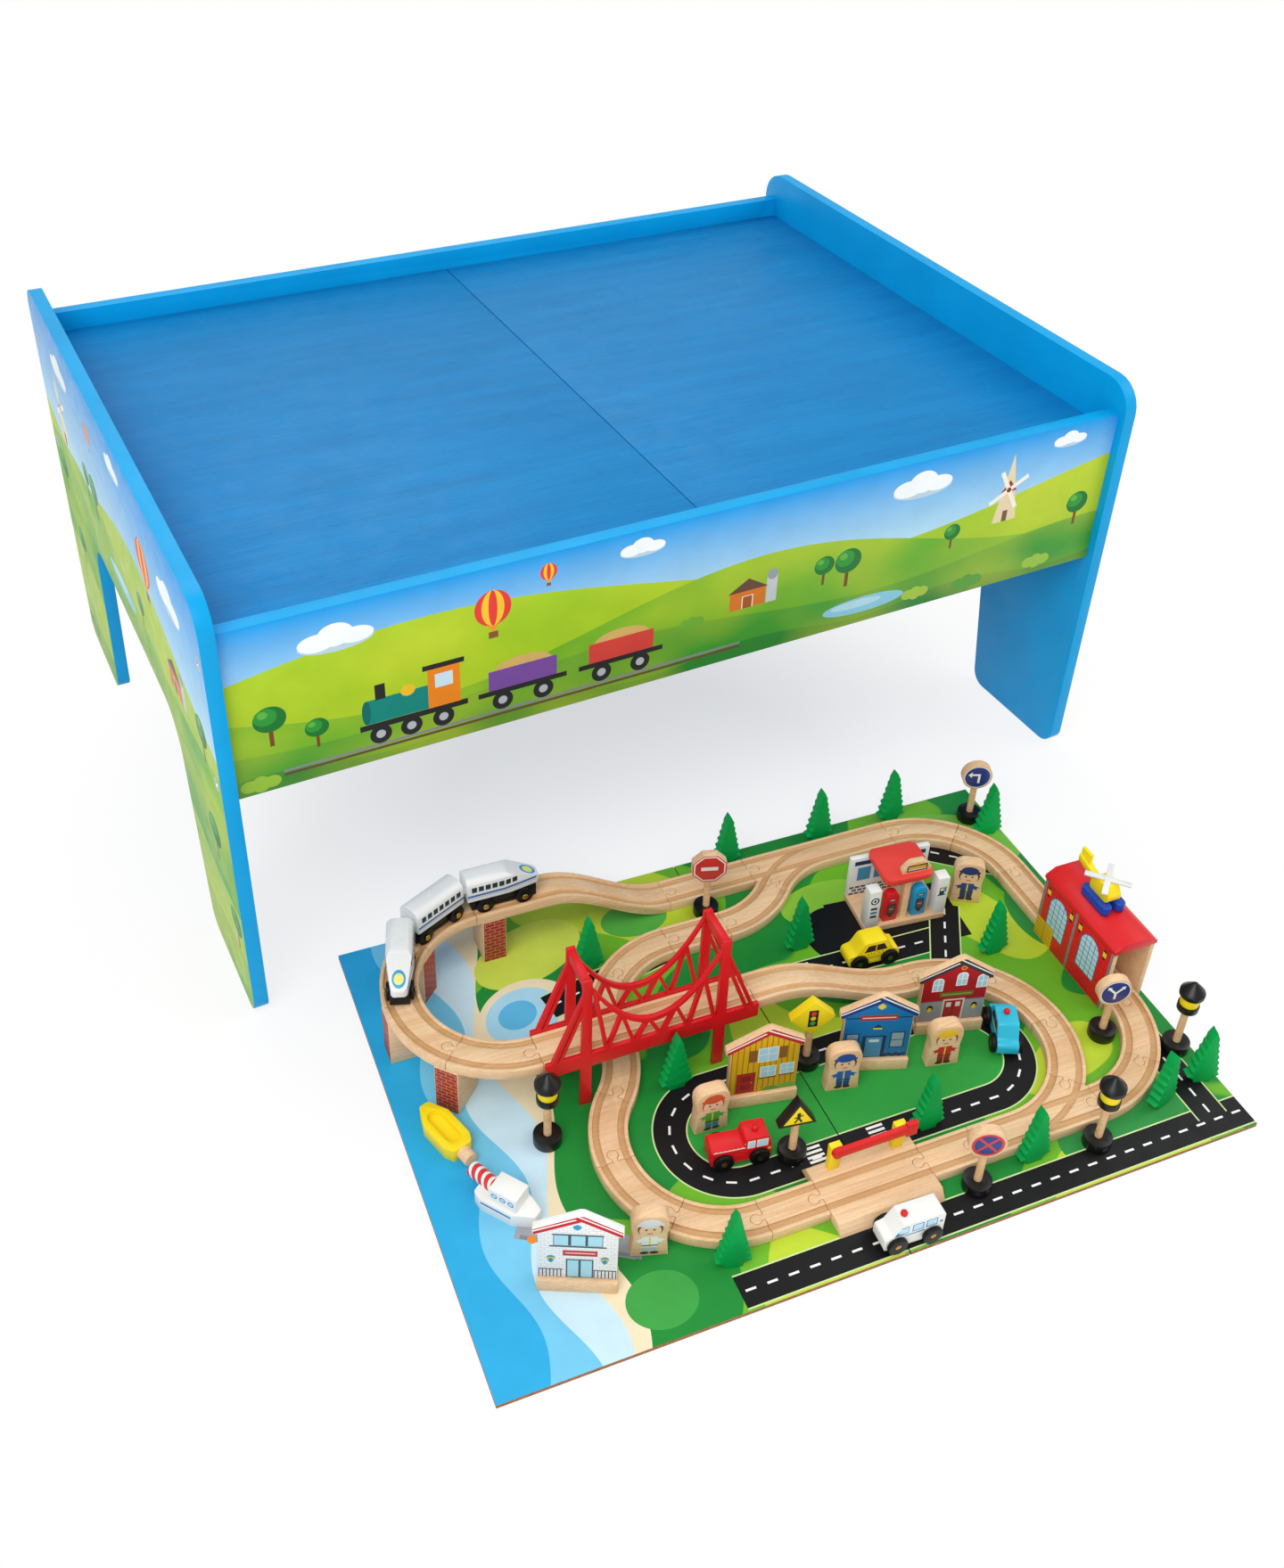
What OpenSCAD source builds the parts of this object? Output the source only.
/* [Table] */
// Length over the two end panels
table_l = 830; // [700:1:1100]
// Depth of the end panels
table_d = 606; // [480:1:800]
// Height of the end panels
table_h = 398; // [360:1:520]
// Thickness of the end panels
end_t = 12; // [9:0.5:18]
// Thickness of the front and back panels
side_t = 12; // [10:0.5:18]
// Height of the front and back panels, edge to edge
side_h = 149; // [110:1:180]
// Drop from the end panels' top to the front panel's top
side_drop = 28; // [10:1:50]
// Set-back of the front and back panels from the end panels' edges
side_inset = 8; // [4:0.5:20]
// Rim left above the playing surface
rim_h = 19; // [8:0.5:40]
// Thickness of the lift-out top boards
top_t = 9; // [6:0.5:15]
// Seam between the two top boards
seam_gap = 0.8; // [0.5:0.1:2]

/* [Table Legs] */
// Radius of the end panels' top corners
top_corner_r = 28; // [10:1:50]
// Radius of the corners at the floor
foot_corner_r = 16; // [5:1:30]
// Height of the opening between the legs
arch_h = 198; // [150:1:220]
// Width of that opening at the floor
arch_foot_w = 360; // [260:1:400]
// Width of that opening at its top
arch_top_w = 304; // [200:1:340]
// Radius of that opening's top corners
arch_r = 42; // [10:1:60]

/* [Table Joinery] */
// Section of the cleats that carry the top boards
cleat_w = 18; // [12:1:25]
// Width of the rail under the seam
rail_w = 60; // [40:1:90]
// Bolt shank diameter
bolt_d = 6; // [5:0.5:8]
// Bolt head diameter
bolt_head_d = 13; // [10:0.5:16]
// Bolt head height
bolt_head_h = 3; // [2:0.5:5]
// Bolt length under the head
bolt_l = 44; // [38:1:60]
// Upper bolts below the front panel's top edge
bolt_upper = 25; // [18:1:40]
// Lower bolts above the front panel's bottom edge
bolt_lower = 15; // [12:1:40]
// Barrel nut diameter
nut_d = 10; // [9:0.5:12]
// Barrel nut length
nut_l = 10; // [8:0.5:10]
// Barrel nut behind the panel's end
nut_back = 24; // [16:1:30]
// Clearance round bolts, nuts and axles
hole_gap = 0.05; // [0.02:0.01:0.1]
// Clearance between pieces that move
fit_gap = 0.3; // [0.2:0.05:0.6]

/* [Play Board] */
// Length of the play board
board_l = 618; // [600:1:680]
// Thickness of the play board
board_t = 4; // [3:0.5:8]
// Play board's centre to the right of the table's
board_x = -45; // [-80:1:20]
// Play board's centre in front of the table's
board_ahead = 508; // [495:1:600]
// Turn of the play board
board_turn = -5; // [-8:0.5:0]
// Width of the play board against its length
board_w_share = 0.68; // [0.68:0.005:0.76]

/* [Track] */
// Track width
track_w = 30; // [26:0.5:31]
// Track thickness
track_h = 9; // [8:0.5:11]
// Wheel groove width
groove_w = 5; // [4.8:0.1:6]
// Wheel groove depth
groove_depth = 1.6; // [1.2:0.1:1.8]
// Distance between the two grooves
groove_gauge = 19; // [18:0.5:20]
// Gap between the ends of two joined pieces
joint_gap = 0.4; // [0.2:0.1:0.8]
// Neck width of a joint's peg
peg_neck_w = 4; // [3:0.5:5]
// Reach of a joint's peg to its round head's centre
peg_reach = 6.5; // [6:0.5:8]
// Diameter of a joint's round peg head
peg_d = 8; // [6.5:0.5:9]
// Clearance round a joint's peg
peg_gap = 0.3; // [0.2:0.05:0.6]
// Height that the raised track stands at
lift = 46; // [40:1:52]
// Sweep of a switch's branch
switch_sweep = 47.5; // [47:0.5:50]
// Length of a level crossing's ramp
crossing_ramp = 6; // [4:0.5:6]
// Curve radius against the board's length
curve_share = 0.1319; // [0.13:0.0005:0.1335]
// Front straight against the board's length, from the front edge
front_share = 0.0939; // [0.092:0.0005:0.096]
// Raised loop's centre against the board's length, from the left
loop_share = 0.1738; // [0.17:0.0005:0.178]
// Foot of the back ramp against the board's length
ramp_foot_share = 0.459; // [0.455:0.0005:0.463]
// Left loop's straight end against the board's length
left_share = 0.3574; // [0.355:0.0005:0.36]
// Inner right loop's centre against the board's length
inner_share = 0.7087; // [0.707:0.0005:0.709]
// Outer right loop's centre against the board's length
outer_share = 0.8252; // [0.825:0.0005:0.826]
// Level crossing's left end against the board's length
crossing_share = 0.4328; // [0.43:0.0005:0.436]
// Level crossing's right end against the board's length
crossing_end_share = 0.5738; // [0.571:0.0005:0.577]
// Rear switch's tangent point against the board's length
switch_share = 0.7087; // [0.707:0.0005:0.71]
// Front switch's tail against the board's length
switch_tail_share = 0.063; // [0.061:0.0005:0.065]
// Level part at a raised ramp's head against its length
ramp_lead_share = 0.36; // [0.34:0.01:0.38]

/* [Bridge] */
// Thickness of the bridge's sides
truss_t = 3.5; // [3:0.1:4.5]
// Height of the bridge's towers
tower_h = 136; // [120:1:150]
// Width of a tower post at its foot
tower_foot_w = 9; // [7:0.5:10]
// Width of a tower post at its head
tower_head_w = 7; // [5:0.5:9]
// Height of the chord along the deck
chord_h = 14; // [12:0.5:17]
// Width of the curved cable band
cable_w = 5; // [4:0.5:7]
// Width of the thin struts
strut_w = 3; // [2.5:0.1:4]
// Height of the beams between the towers
portal_h = 9; // [6:0.5:12]
// Thickness of the beams between the towers
portal_t = 6; // [4:0.5:7]
// Bays of the truss between the towers
truss_bays = 10; // [6:2:14]
// Towers against the bridge's length
tower_shares = [0.184, 0.816]; // [0:0.001:1]
// Lowest point of the cable band against the tower's height
sag_share = 0.57; // [0.54:0.01:0.66]

/* [Train] */
// Wheel radius
wheel_r = 7.5; // [7:0.1:8]
// Wheel width
wheel_w = 2.4; // [2:0.1:2.6]
// Axle radius
axle_r = 1.2; // [1:0.1:1.5]
// Distance between the two axles of a car
car_base = 34; // [30:0.5:36]
// Length of the end cars
end_car_l = 64; // [58:0.5:66]
// Length of the middle car
mid_car_l = 50; // [46:0.5:51]
// Width of a car's shell
car_w = 22; // [20:0.5:23]
// Height of a car's shell
car_h = 22; // [20:0.5:27]
// Radius of a car's roof corners
car_roof_r = 8; // [4:0.5:9]
// Width of a car's chassis between the wheels
chassis_w = 15.6; // [13:0.1:15.8]
// Chassis underside above the wheels' foot
chassis_up = 3.4; // [2.5:0.1:4]
// Turn of the middle car past the loop's top
mid_car_turn = 26.5; // [26:0.5:27]
// Turn of the front car past the loop's top
front_car_turn = 73; // [72.5:0.5:74]
// Rear car's centre against the board's length
rear_car_share = 0.2159; // [0.2155:0.0005:0.222]
// Start of the nose's slope against a car's length
nose_share = 0.5; // [0.4:0.01:0.7]
// Height of the nose's tip against the shell's height
nose_tip_share = 0.3; // [0.2:0.01:0.4]
// Width of the nose's tip against the shell's width
nose_w_share = 0.55; // [0.5:0.01:0.7]
// Rounding of the nose's tip
nose_r = 5; // [3:0.5:5]

/* [Road Vehicles] */
// Body length
vehicle_l = 47; // [44:0.5:52]
// Body width between the wheels
vehicle_w = 17; // [15:0.5:19]
// Body height
vehicle_h = 24; // [21:0.5:26]
// Body underside above the board
vehicle_up = 3.2; // [2.5:0.1:4]
// Rounding of a body's corners
vehicle_r = 2.2; // [1:0.1:3]
// Rounding of a saloon body's corners
saloon_r = 4.4; // [2:0.1:4.6]
// Wheel radius
road_wheel_r = 7.8; // [7:0.1:8.2]
// Wheel width
road_wheel_w = 3.6; // [3:0.1:4.5]
// Distance between the axles
road_base = 28; // [25:0.5:30]
// Outline of a saloon body in shares of length and height
saloon_shares = [[0, 0], [1, 0], [1, 0.46], [0.84, 0.52], [0.7, 1], [0.27, 1], [0.13, 0.52], [0, 0.46]];
// Outline of a fire engine body in shares of length and height
engine_shares = [[0, 0], [1, 0], [1, 0.68], [0.46, 0.68], [0.44, 1], [0.05, 1], [0, 0.6]];
// Outline of an ambulance body in shares of length and height
ambulance_shares = [[0, 0], [1, 0], [1, 1], [0.3, 1], [0.14, 0.54], [0, 0.48]];
// Place of the yellow car in shares of the board's length, and its turn
taxi_spot_share = [0.6796, 0.4191, 176];
// Place of the blue car in shares of the board's length, and its turn
patrol_spot_share = [0.7759, 0.2346, 66];
// Place of the fire engine in shares of the board's length, and its turn
engine_spot_share = [0.3700, 0.1916, 172];
// Place of the ambulance in shares of the board's length, and its turn
ambulance_spot_share = [0.5071, 0.0212, -2];

/* [Posts And Signs] */
// Foot diameter of a lamp or sign
foot_d = 22; // [18:0.5:22]
// Foot height of a lamp or sign
foot_h = 10; // [7:0.5:11]
// Pole diameter
pole_d = 6; // [4:0.1:6.2]
// Length of a lamp's pole above its foot
lamp_pole_l = 37; // [30:0.5:44]
// Length of a sign's pole above its foot
sign_pole_l = 32; // [26:0.5:38]
// Depth that a pole is set into its foot
pole_set = 5; // [3:0.5:6]
// Lamp glass diameter
drum_d = 15; // [12:0.5:17]
// Lamp glass height
drum_h = 10; // [8:0.5:13]
// Lamp cap diameter
cap_d = 20; // [17:0.5:22]
// Height of the lamp cap's cone
cap_h = 9; // [7:0.5:12]
// Height of the lamp cap's rim
cap_rim = 4; // [3:0.5:6]
// Lamp collar diameter under the glass
collar_d = 17; // [15:0.5:19]
// Lamp collar height under the glass
collar_h = 6; // [4:0.5:8]
// Round sign's diameter
sign_d = 28; // [24:0.5:30]
// Octagon sign's size over its corners
octagon_d = 32; // [28:0.5:34]
// Diamond sign's size over its corners
diamond_d = 36; // [30:0.5:38]
// Diameter of the circle round the triangle sign
triangle_d = 34; // [28:0.5:36]
// Sign plate thickness
sign_t = 8; // [7.5:0.5:9]
// Lamps' places in shares of the board's length, and their turns
lamp_spot_shares = [[0.1631, 0.2926, 0], [0.7913, 0.0482, 0], [0.9781, 0.1367, 0]];
// Round signs' places in shares of the board's length, and their turns
round_spot_shares = [[0.9673, 0.6206, -20], [0.6181, 0.0482, -22], [0.9008, 0.1901, -14]];
// Octagon sign's place in shares of the board's length, and its turn
octagon_spot_share = [0.5049, 0.5786, -16];
// Diamond sign's place in shares of the board's length, and its turn
diamond_spot_share = [0.5140, 0.2888, -12];
// Triangle sign's place in shares of the board's length, and its turn
triangle_spot_share = [0.4320, 0.1680, -8];

/* [Trees And Figures] */
// Tree height
tree_h = 57; // [48:0.5:62]
// Tree width
tree_w = 27; // [22:0.5:28]
// Tree thickness
tree_t = 9; // [7:0.5:9.5]
// Tiers of a tree
tree_tiers = 8; // [5:1:10]
// Depth of the notch between two tiers against the tier's width
notch_share = 0.7; // [0.5:0.01:0.85]
// Width of a tree's foot against its width
tree_foot_share = 0.5; // [0.3:0.01:0.8]
// Trees' places in shares of the board's length, and their turns
tree_spot_shares = [[0.3123, 0.5405, 0], [0.3427, 0.3155, 0], [0.5981, 0.4722, 0], [0.5761, 0.6634, 0],
    [0.7290, 0.6634, 0], [0.8528, 0.6634, 0], [0.9767, 0.5841, -8], [0.8485, 0.3706, 0],
    [0.3026, 0.0623, -12], [0.6083, 0.1474, 0], [0.7039, 0.0591, 0], [0.9045, 0.0712, 14],
    [0.9773, 0.0848, -15]];
// Figure width
figure_w = 27; // [22:0.5:28]
// Figure height
figure_h = 45; // [38:0.5:50]
// Figure thickness
figure_t = 11; // [8:0.5:11.5]
// Rounding of a figure's head
figure_r = 8.5; // [5:0.5:9]
// Outline of a figure in shares of width and height, and its rounding in shares of the head's
figure_shares = [[0, 0, 0.1], [1, 0, 0.1], [0.95, 0.5, 0.6], [1, 0.74, 0.4], [0.97, 1, 1], [0.03, 1, 1],
    [0, 0.74, 0.4], [0.05, 0.5, 0.6]];
// Figures' places in shares of the board's length, and their turns
figure_spot_shares = [[0.3560, 0.2432, -3], [0.5380, 0.2414, -12], [0.6780, 0.2296, -11],
    [0.2201, 0.1125, -17], [0.8681, 0.4741, -29]];

/* [Buildings] */
// Width of a building's front
front_w = 62; // [56:0.5:64]
// Height of a building's front
front_h = 74; // [64:0.5:80]
// Thickness of a building's front
front_t = 6; // [5:0.5:7]
// Length of a building's foot
base_l = 56; // [50:0.5:60]
// Depth of a building's foot
base_d = 14; // [12:0.5:15]
// Height of a building's foot
base_h = 12; // [9:0.5:13]
// Depth of the slot in a building's foot
slot_depth = 5; // [4:0.5:6]
// Share of a house front's width that its roof stands out past each wall
roof_out_share = 0.06; // [0.02:0.005:0.08]
// Share of a house front's height that its roof's edge is thick
roof_edge_share = 0.085; // [0.04:0.005:0.1]
// Share of a house front's width that its blunt ridge is wide
ridge_share = 0.05; // [0.02:0.005:0.08]
// Ridge's place across and eaves' height in shares of the front: cottage, patrol house, fire house, clinic
house_shares = [[0.55, 0.77], [0.53, 0.76], [0.56, 0.75], [0.54, 0.78]]; // [0.5:0.01:0.82]
// Buildings' places in shares of the board's length, and their turns
building_spot_shares = [[0.4333, 0.2595, -10], [0.5913, 0.2563, -18], [0.7152, 0.2756, -14],
    [0.1293, 0.1011, -24]];

/* [Filling Station] */
// Length of the station's base
station_l = 76; // [72:1:80]
// Depth of the station's base
station_d = 46; // [44:1:50]
// Thickness of the station's base
station_t = 6; // [5:0.5:8]
// Height of the station's back wall
station_wall_h = 44; // [40:0.5:50]
// Thickness of the station's walls
station_wall_t = 5; // [4:0.5:6]
// Length of the station's roof
canopy_l = 46; // [42:1:50]
// Depth of the station's roof
canopy_d = 43; // [40:1:44]
// Thickness of the station's roof
canopy_t = 6; // [5:0.5:8]
// Radius of the station roof's corners
canopy_r = 7; // [3:0.5:12]
// Section of the station's pillar
pillar_w = 6; // [5:0.5:8]
// Width of a pump
pump_w = 13; // [11:0.5:14]
// Depth of a pump
pump_d = 8; // [6:0.5:9]
// Height of a pump
pump_h = 33; // [28:0.5:36]
// Distance of a pump from the pillar
pump_reach = 13.5; // [12:0.5:15]
// Width of the sign block at the station's corner
block_w = 11; // [9:0.5:11.5]
// Height of the sign block at the station's corner
block_h = 42; // [36:0.5:46]
// Place of the station in shares of the board's length, and its turn
station_spot_share = [0.7613, 0.4927, -5];

/* [Engine Shed] */
// Length of the shed's walls
shed_l = 96; // [86:1:98]
// Clear width between the shed's walls
shed_w = 32; // [31.5:0.5:36]
// Thickness of the shed's walls
shed_wall_t = 4; // [3:0.5:5]
// Height of the shed's walls
shed_h = 64; // [56:0.5:70]
// Overhang of the shed's roof
shed_eave = 1; // [0.5:0.5:2]
// Rise of the shed's roof
shed_rise = 6; // [4:0.5:9]
// Thickness of the shed roof's edge
shed_roof_t = 3.5; // [2:0.5:5]
// Width of the shed roof's flat top
shed_flat = 24; // [23:0.5:26]

/* [Helicopter] */
// Length of the stand's floats
float_l = 34; // [28:0.5:36]
// Width of a float
float_w = 9.5; // [8:0.5:9.5]
// Gap between the floats
float_gap = 4; // [3:0.5:4]
// Height of the floats
pad_t = 9; // [6:0.5:10]
// Length of the helicopter's cabin
cabin_l = 24; // [20:0.5:28]
// Height of the helicopter's cabin
cabin_h = 15; // [12:0.5:18]
// Width of the helicopter's cabin
cabin_w = 13; // [10:0.5:15]
// Reach of the helicopter's tail
tail_l = 23; // [16:0.5:26]
// Height of the helicopter's tail boom
boom_h = 6; // [4:0.5:6.5]
// Height of the tail fin
fin_h = 13; // [10:0.5:15]
// Diameter of the rotor
rotor_d = 38; // [34:0.5:44]
// Width of a rotor blade
blade_w = 5; // [4:0.5:6]
// Thickness of a rotor blade
blade_t = 1.6; // [1.2:0.1:2]
// Diameter of the rotor's hub
hub_d = 7; // [6:0.5:8]
// Diameter of the rotor's mast
mast_d = 3; // [2.5:0.1:4]
// Height of the rotor's mast
mast_h = 3; // [2.5:0.1:4]
// Turn of the helicopter
helicopter_turn = -90; // [-180:1:180]

/* [Boats] */
// Hull length
hull_l = 50; // [48:1:56]
// Hull width
hull_w = 23; // [20:0.5:25]
// Hull height
hull_h = 12; // [11.5:0.5:14]
// Start of the bow's taper against the hull's length
bow_share = 0.68; // [0.6:0.01:0.8]
// Width of the bow's tip against the hull's width
bow_tip_share = 0.35; // [0.2:0.01:0.5]
// Deckhouse length
deckhouse_l = 23; // [20:0.5:25]
// Deckhouse width
deckhouse_w = 17; // [14:0.5:18]
// Deckhouse height
deckhouse_h = 13; // [10:0.5:16]
// Diameter of the tug's tow tube
tube_d = 12; // [9:0.5:13]
// Length of the tug's tow tube past its deckhouse
tube_l = 26; // [22:0.5:28]
// Turn of the tug's tow tube off the hull's line
tube_turn = 12; // [0:1:14]
// Depth of the barge's hold
hold_depth = 6; // [4:0.5:7]
// Width of the barge's hold
hold_w = 12; // [10:0.5:15]
// Length of the barge's hold
hold_l = 34; // [26:0.5:36]
// Rounding of the hulls' corners
hull_r = 3; // [2:0.1:3.5]
// Diameter of the tow knob at the stern of the barge
tow_d = 11; // [8:0.5:11]
// Length that the tow knob stands out
tow_l = 10; // [8:0.5:11]
// Place of the tug in shares of the board's length, and its turn
tug_spot_share = [0.0893, 0.2200, -52];
// Place of the barge in shares of the board's length, and its turn
barge_spot_share = [0.0480, 0.3460, 109];

/* [Level Crossing Gate] */
// Height of a gate post
post_h = 26; // [22:0.5:28]
// Width of a gate post
post_w = 9; // [7:0.5:10]
// Thickness of a gate post
post_t = 5; // [3.5:0.5:5]
// Height of the gate's pivot
pivot_h = 22; // [16:0.5:22]
// Radius of the gate's pivot pin
pin_r = 1.6; // [1:0.1:1.8]
// Height of the gate's arm
arm_h = 7; // [5:0.1:8]
// Thickness of the gate's arm
arm_t = 4; // [3:0.1:4.5]
// Reach of the arm past the second post
arm_over = 12; // [10:0.5:14]
// Height of the block at the arm's free end
tip_h = 13; // [9:0.5:15]
// Posts against the crossing's length
post_shares = [0.22, 0.84]; // [0.1:0.01:0.9]

/* [Hidden] */
$fn = 48;
// Length that a cut runs past a face
over = 1;
// Steps of a rounded outline corner
corner_steps = 6;
// Steps of a ramp's curve and of the cable band
curve_steps = 18;
// Board width and how far its turned outline reaches
board_w = board_l * board_w_share;
board_reach = board_l / 2 * sin(abs(board_turn)) + board_w / 2 * cos(board_turn);
// Middle of the whole set, front to back, kept at the origin
mid_y = (table_d / 2 - board_ahead - board_reach) / 2;
table_y = -mid_y;
board_y = -board_ahead - mid_y;
// Table levels
inner_l = table_l - 2 * end_t;
side_top = table_h - side_drop;
side_z = side_top - side_h;
side_mid = table_d / 2 - side_inset - side_t / 2;
inner_d = 2 * side_mid - side_t;
top_z = side_top - rim_h;
cleat_z = top_z - top_t - fit_gap;
bolt_levels = [side_top - bolt_upper, side_z + bolt_lower];
bolt_hole_d = bolt_d + 2 * hole_gap;
head_seat_d = bolt_head_d + 2 * hole_gap;
nut_seat_d = nut_d + 2 * hole_gap;
end_outline = [[-table_d / 2, 0, foot_corner_r], [-arch_foot_w / 2, 0, foot_corner_r],
    [-arch_top_w / 2, arch_h, arch_r], [arch_top_w / 2, arch_h, arch_r],
    [arch_foot_w / 2, 0, foot_corner_r], [table_d / 2, 0, foot_corner_r],
    [table_d / 2, table_h, top_corner_r], [-table_d / 2, table_h, top_corner_r]];
// Track layout on the board
curve_r = board_l * curve_share;
front_v = board_l * front_share;
bridge_v = front_v + 2 * curve_r;
back_v = bridge_v + 2 * curve_r;
low_v = front_v + curve_r;
high_v = bridge_v + curve_r;
loop_u = board_l * loop_share;
foot_u = board_l * ramp_foot_share;
left_u = board_l * left_share;
inner_u = board_l * inner_share;
outer_u = board_l * outer_share;
crossing_u = board_l * crossing_share;
crossing_end_u = board_l * crossing_end_share;
switch_u = board_l * switch_share;
front_tail = board_l * switch_tail_share;
back_tail = outer_u - switch_u;
switch_reach = outer_u - inner_u;
switch_head_u = switch_u - switch_reach;
trim = joint_gap / 2;
trim_turn = trim / curve_r * 180 / PI;
peg_hole_d = peg_d + 2 * peg_gap;
peg_slot_w = peg_neck_w + 2 * peg_gap;
// Middle line of the set, where the branch of the rear switch leads to
middle_v = back_v - 2 * curve_r * (1 - cos(switch_sweep));
weave = asin((middle_v - low_v - curve_r) / (2 * curve_r));
weave_u = left_u - curve_r + 2 * curve_r * (1 - cos(weave));
middle_u = weave_u + curve_r;
branch_u = switch_u - 2 * curve_r * sin(switch_sweep);
inner_sweep = (180 - switch_sweep) / 3;
quarter = 45;
bridge_l = foot_u - loop_u;
ramp_l = inner_u - foot_u;
// Train placing
rail_z = lift + track_h - groove_depth + fit_gap;
car_arc_r = sqrt(curve_r * curve_r - car_base * car_base / 4);
shell_z = 2 * wheel_r + fit_gap;
bore_r = axle_r + hole_gap;
axle_l = groove_gauge + 2 * wheel_w;
nose_x = end_car_l * nose_share;
shell_outline = [[-car_w / 2, 0, axle_r], [car_w / 2, 0, axle_r], [car_w / 2, car_h, car_roof_r],
    [-car_w / 2, car_h, car_roof_r]];
nose_side = [[-end_car_l / 2, 0, 0], [end_car_l / 2, 0, axle_r],
    [end_car_l / 2, car_h * nose_tip_share, nose_r / 2], [end_car_l / 2 - nose_x, car_h, car_h],
    [-end_car_l / 2, car_h, axle_r]];
nose_plan = [[-end_car_l / 2, -car_w / 2, 0], [end_car_l / 2 - nose_x, -car_w / 2, car_h],
    [end_car_l / 2, -car_w * nose_w_share / 2, nose_r],
    [end_car_l / 2, car_w * nose_w_share / 2, nose_r],
    [end_car_l / 2 - nose_x, car_w / 2, car_h], [-end_car_l / 2, car_w / 2, 0]];
// Road vehicles
road_axle_z = road_wheel_r + fit_gap;
road_axle_l = vehicle_w + 2 * fit_gap + 2 * road_wheel_w;
// Buildings and shed
house_wall_w = front_w * (1 - 2 * roof_out_share);
shed_v = low_v + shed_l / 2 + joint_gap;
shed_half = shed_w / 2 + shed_wall_t + shed_eave;
shed_u = outer_u + curve_r;
shed_top = shed_h + shed_roof_t + shed_rise;
// Gate
gate_u = crossing_u + (crossing_end_u - crossing_u) * post_shares[0];
catch_u = crossing_u + (crossing_end_u - crossing_u) * post_shares[1];
gate_v = front_v + track_w / 2 + post_t;
arm_l = catch_u - gate_u + arm_over;

function unit(a) = a / norm(a);
function flat2(p) = [p[0], p[1]];
function swing_of(d) = d > 180 ? d - 360 : d < -180 ? d + 360 : d;
function arc_points(c, r, a, d, n) = [for (i = [0:n]) c + r * [cos(a + d * i / n), sin(a + d * i / n)]];
function bearing(c, p) = atan2(p[1] - c[1], p[0] - c[0]);
function corner(b, u, v, r, n) =
  let (
    half = acos(u * v) / 2,
    c = b + unit(u + v) * r / sin(half),
    a = bearing(c, b + u * r / tan(half)),
    d = swing_of(bearing(c, b + v * r / tan(half)) - a)
  )
  r > 0 ? arc_points(c, r, a, d, n) : [b];
function rounded(pts, n) =
  let (m = len(pts))
  [for (i = [0:m - 1])
    each corner(
      flat2(pts[i]),
      unit(flat2(pts[(i + m - 1) % m]) - flat2(pts[i])),
      unit(flat2(pts[(i + 1) % m]) - flat2(pts[i])),
      pts[i][2],
      n
    )];
function sized(shares, w, h, r) = [for (p = shares) [(p[0] - 1 / 2) * w, p[1] * h, r]];
function ramp_z(x, lead, l) = x < lead ? lift : lift * (1 + cos(180 * (x - lead) / (l - lead))) / 2;
function ramp_x(i, lead, l) = i == 0 ? 0 : lead + (l - lead) * (i - 1) / (curve_steps - 1);

// Table

module end_panel(side) {
  translate([side * (table_l - end_t) / 2, table_y, 0])
    difference() {
      rotate([90, 0, 90])
        linear_extrude(height = end_t, center = true)
          polygon(rounded(end_outline, corner_steps));
      for (y = [-1, 1], z = bolt_levels)
        translate([0, y * side_mid, z])
          rotate([0, side * 90, 0]) {
            cylinder(d = bolt_hole_d, h = 2 * end_t, center = true);
            translate([0, 0, end_t / 2 - bolt_head_h])
              cylinder(d = head_seat_d, h = end_t);
          }
    }
}

module side_panel(side) {
  translate([0, table_y + side * side_mid, 0])
    difference() {
      translate([0, 0, side_z + side_h / 2])
        cube([inner_l, side_t, side_h], center = true);
      for (x = [-1, 1], z = bolt_levels)
        translate([x * inner_l / 2, 0, z]) {
          rotate([0, 90, 0])
            cylinder(d = bolt_hole_d, h = 2 * bolt_l, center = true);
          translate([-x * nut_back, -side * side_t / 2, 0])
            rotate([90, 0, 0])
              cylinder(d = nut_seat_d, h = 2 * nut_l, center = true);
        }
    }
}

module left_end_panel() {
  color("deepskyblue") end_panel(-1);
}

module right_end_panel() {
  color("deepskyblue") end_panel(1);
}

module front_panel() {
  color("lightskyblue") side_panel(-1);
}

module back_panel() {
  color("lightskyblue") side_panel(1);
}

module top_board(side) {
  board_x_l = inner_l / 2 - fit_gap - seam_gap / 2;
  translate([side * (board_x_l + seam_gap) / 2, table_y, top_z - top_t / 2])
    cube([board_x_l, inner_d - 2 * fit_gap, top_t], center = true);
}

module left_top_board() {
  color("royalblue") top_board(-1);
}

module right_top_board() {
  color("royalblue") top_board(1);
}

module top_supports() {
  cross_l = inner_d - 2 * cleat_w - 2 * fit_gap;
  color("burlywood")
    translate([0, table_y, cleat_z - cleat_w / 2]) {
      for (y = [-1, 1])
        translate([0, y * (inner_d - cleat_w) / 2, 0])
          cube([inner_l, cleat_w, cleat_w], center = true);
      for (x = [-1, 1])
        translate([x * (inner_l - cleat_w) / 2, 0, 0])
          cube([cleat_w, cross_l, cleat_w], center = true);
      cube([rail_w, cross_l, cleat_w], center = true);
    }
}

module panel_bolts() {
  color("silver")
    for (x = [-1, 1], y = [-1, 1], z = bolt_levels)
      translate([x * table_l / 2, table_y + y * side_mid, z])
        rotate([0, -x * 90, 0])
          union() {
            cylinder(d = bolt_head_d, h = bolt_head_h);
            cylinder(d = bolt_d, h = bolt_head_h + bolt_l);
          }
}

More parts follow.
